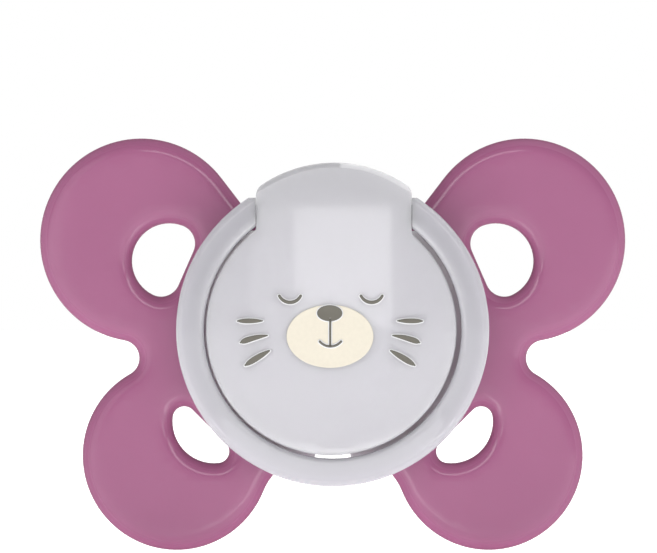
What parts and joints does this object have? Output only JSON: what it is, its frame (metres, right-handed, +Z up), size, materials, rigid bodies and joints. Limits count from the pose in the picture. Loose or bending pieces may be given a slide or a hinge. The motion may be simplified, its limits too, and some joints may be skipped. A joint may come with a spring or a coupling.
{
  "type": "pacifier",
  "caption": "Baby's pacifier: vented butterfly-shaped shield with rounded lobes, hollow orthodontic teat, round front knob and a folding ring handle.",
  "frame": {"origin": "centre of the flat middle of the knob's front face, on the teat's axis", "axes": "-Y out of the knob's front face, +Y along the teat towards its tip, +X across the shield towards the wearer's left, +Z up with the ring handle hanging below its hinge"},
  "size_m": [0.0588, 0.035, 0.0412],
  "materials": {
    "shield": "satin mauve pink",
    "teat": "clear silicone, smooth",
    "plug": "natural white, matte",
    "knob": "milky grey, polished",
    "knob_face": "milky grey, polished, with a printed face",
    "ring": "milky grey, polished"
  },
  "bodies": {
    "pacifier": {"shield": "shield", "teat": "teat", "teat_plug": "plug", "knob_base": "knob", "knob_cover": "knob_face"},
    "ring": {"ring_handle": "ring"}
  },
  "joints": [
    {"name": "ring_hinge", "type": "hinge", "parent": "pacifier", "child": "ring", "pos_m": [0, 0.0033, 0.0115], "axis": [-1, 0, 0], "range_deg": [0, 170]}
  ]
}
